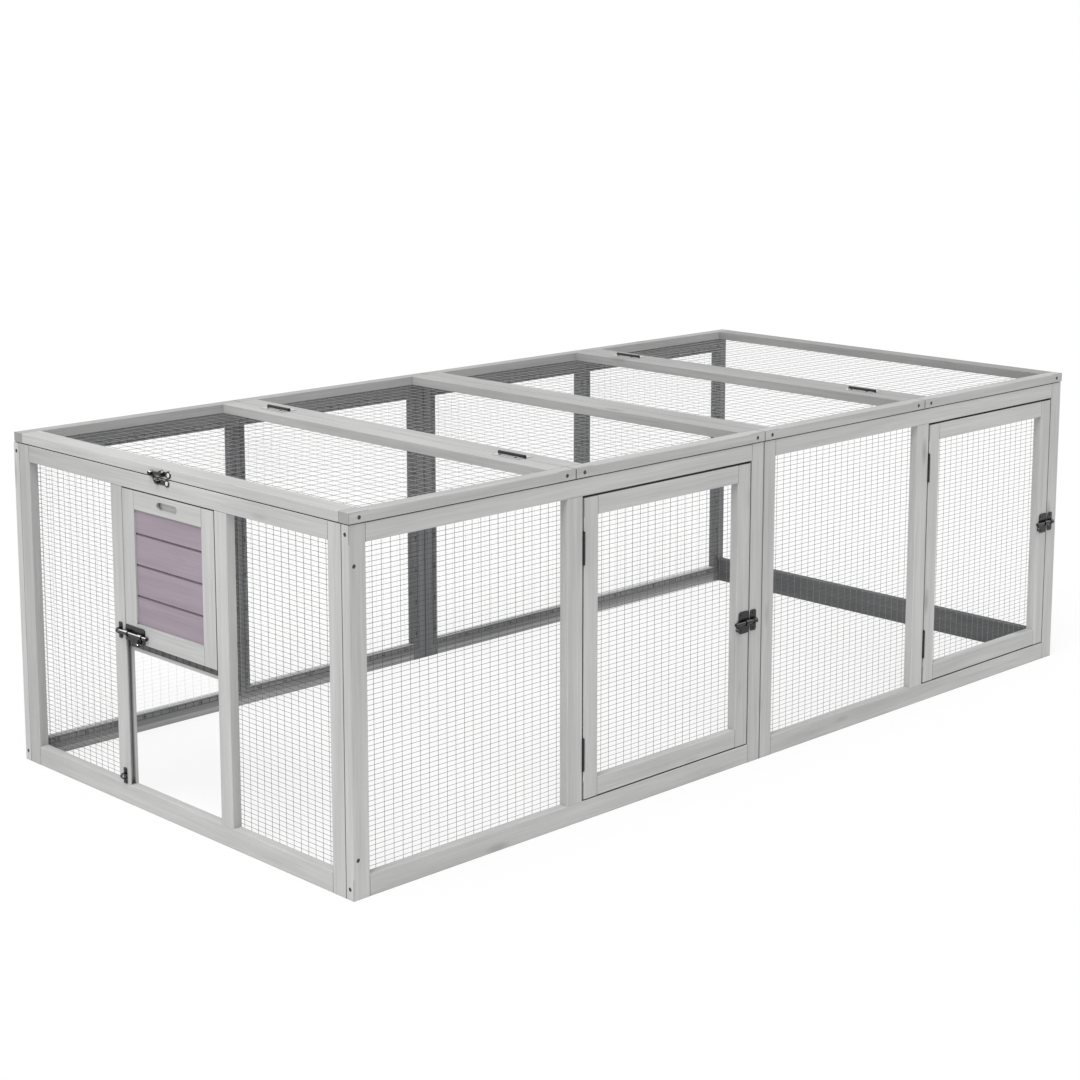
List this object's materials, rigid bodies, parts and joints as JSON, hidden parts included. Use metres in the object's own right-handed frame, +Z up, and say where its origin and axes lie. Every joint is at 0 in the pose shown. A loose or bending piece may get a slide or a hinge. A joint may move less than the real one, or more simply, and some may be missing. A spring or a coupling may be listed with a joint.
{
  "type": "chicken run",
  "caption": "Low wooden chicken run with wire mesh walls and roof, hinged front doors with bolts, a sliding pop door in one end, an open other end and hinged roof lids.",
  "frame": {"origin": "On the ground below the middle of the bounding box.", "axes": "+X along the run, away from the pop door end; +Y from the door side to the back; +Z up."},
  "size_m": [1.9924, 0.9794, 0.6359],
  "materials": {
    "washed_wood": "grey wash",
    "mauve_wood": "matt",
    "black_metal": "satin",
    "mesh_wire": "galvanised",
    "screw_steel": "dark"
  },
  "bodies": {
    "run_frame": {"front_stiles": "washed_wood", "front_mid_posts": "washed_wood", "front_rails": "washed_wood", "back_posts": "washed_wood", "back_rails": "washed_wood", "pop_end_stiles": "washed_wood", "pop_end_rails": "washed_wood", "pop_end_jambs": "washed_wood", "pop_end_mid_rail": "washed_wood", "plain_end_bottom_board": "washed_wood", "fixed_roof_side_rails": "washed_wood", "fixed_roof_cross_rails": "washed_wood", "front_left_net": "mesh_wire", "front_right_net": "mesh_wire", "back_nets": "mesh_wire", "pop_end_front_net": "mesh_wire", "pop_end_back_net": "mesh_wire", "pop_door_upper_net": "mesh_wire", "fixed_roof_nets": "mesh_wire", "frame_screws": "screw_steel", "hinge_fixed_leaves": "black_metal", "hinge_pins": "black_metal", "bolt_keepers": "black_metal", "hook_catch": "black_metal"},
    "front_door_left": {"front_door_left_stiles": "washed_wood", "front_door_left_rails": "washed_wood", "front_door_left_net": "mesh_wire", "front_door_left_hinge_leaves": "black_metal", "front_door_left_bolt_plate": "black_metal"},
    "front_door_left_bolt": {"front_door_left_bolt_rod": "black_metal"},
    "front_door_right": {"front_door_right_stiles": "washed_wood", "front_door_right_rails": "washed_wood", "front_door_right_net": "mesh_wire", "front_door_right_hinge_leaves": "black_metal", "front_door_right_bolt_plate": "black_metal"},
    "front_door_right_bolt": {"front_door_right_bolt_rod": "black_metal"},
    "pop_door": {"pop_door_stiles": "washed_wood", "pop_door_top_rail": "washed_wood", "pop_door_bottom_rail": "washed_wood", "pop_door_slats": "mauve_wood", "pop_door_bolt_plate": "black_metal"},
    "pop_door_bolt": {"pop_door_bolt_rod": "black_metal"},
    "roof_lid_left": {"roof_lid_left_side_rails": "washed_wood", "roof_lid_left_cross_rails": "washed_wood", "roof_lid_left_net": "mesh_wire", "roof_lid_left_hinge_leaves": "black_metal", "roof_lid_left_screws": "screw_steel", "roof_lid_left_hook_plate": "black_metal"},
    "roof_lid_left_hook": {"roof_lid_left_hook": "black_metal"},
    "roof_lid_right": {"roof_lid_right_side_rails": "washed_wood", "roof_lid_right_cross_rails": "washed_wood", "roof_lid_right_net": "mesh_wire", "roof_lid_right_hinge_leaves": "black_metal", "roof_lid_right_screws": "screw_steel"}
  },
  "joints": [
    {"name": "front_door_left_hinge", "type": "hinge", "parent": "run_frame", "child": "front_door_left", "pos_m": [-0.47005, -0.48085, 0.305], "axis": [0, 0, -1], "range_deg": [0, 110]},
    {"name": "front_door_left_bolt_slide", "type": "slide", "parent": "front_door_left", "child": "front_door_left_bolt", "axis": [1, 0, 0], "range_m": [0, 0.018]},
    {"name": "front_door_right_hinge", "type": "hinge", "parent": "run_frame", "child": "front_door_right", "pos_m": [0.52095, -0.48085, 0.305], "axis": [0, 0, -1], "range_deg": [0, 110]},
    {"name": "front_door_right_bolt_slide", "type": "slide", "parent": "front_door_right", "child": "front_door_right_bolt", "axis": [1, 0, 0], "range_m": [0, 0.018]},
    {"name": "pop_door_slide", "type": "slide", "parent": "run_frame", "child": "pop_door", "axis": [0, 0, 1], "range_m": [-0.268, 0]},
    {"name": "pop_door_bolt_slide", "type": "slide", "parent": "pop_door", "child": "pop_door_bolt", "axis": [0, 1, 0], "range_m": [0, 0.017]},
    {"name": "roof_lid_left_hinge", "type": "hinge", "parent": "run_frame", "child": "roof_lid_left", "pos_m": [-0.49025, 0.00525, 0.6327], "axis": [0, 1, 0], "range_deg": [0, 165]},
    {"name": "roof_lid_left_hook_turn", "type": "hinge", "parent": "roof_lid_left", "child": "roof_lid_left_hook", "pos_m": [-0.98575, 0.01475, 0.6195], "axis": [1, 0, 0], "range_deg": [-18, 60]},
    {"name": "roof_lid_right_hinge", "type": "hinge", "parent": "run_frame", "child": "roof_lid_right", "pos_m": [0.50075, 0.00525, 0.6327], "axis": [0, -1, 0], "range_deg": [0, 165]}
  ]
}
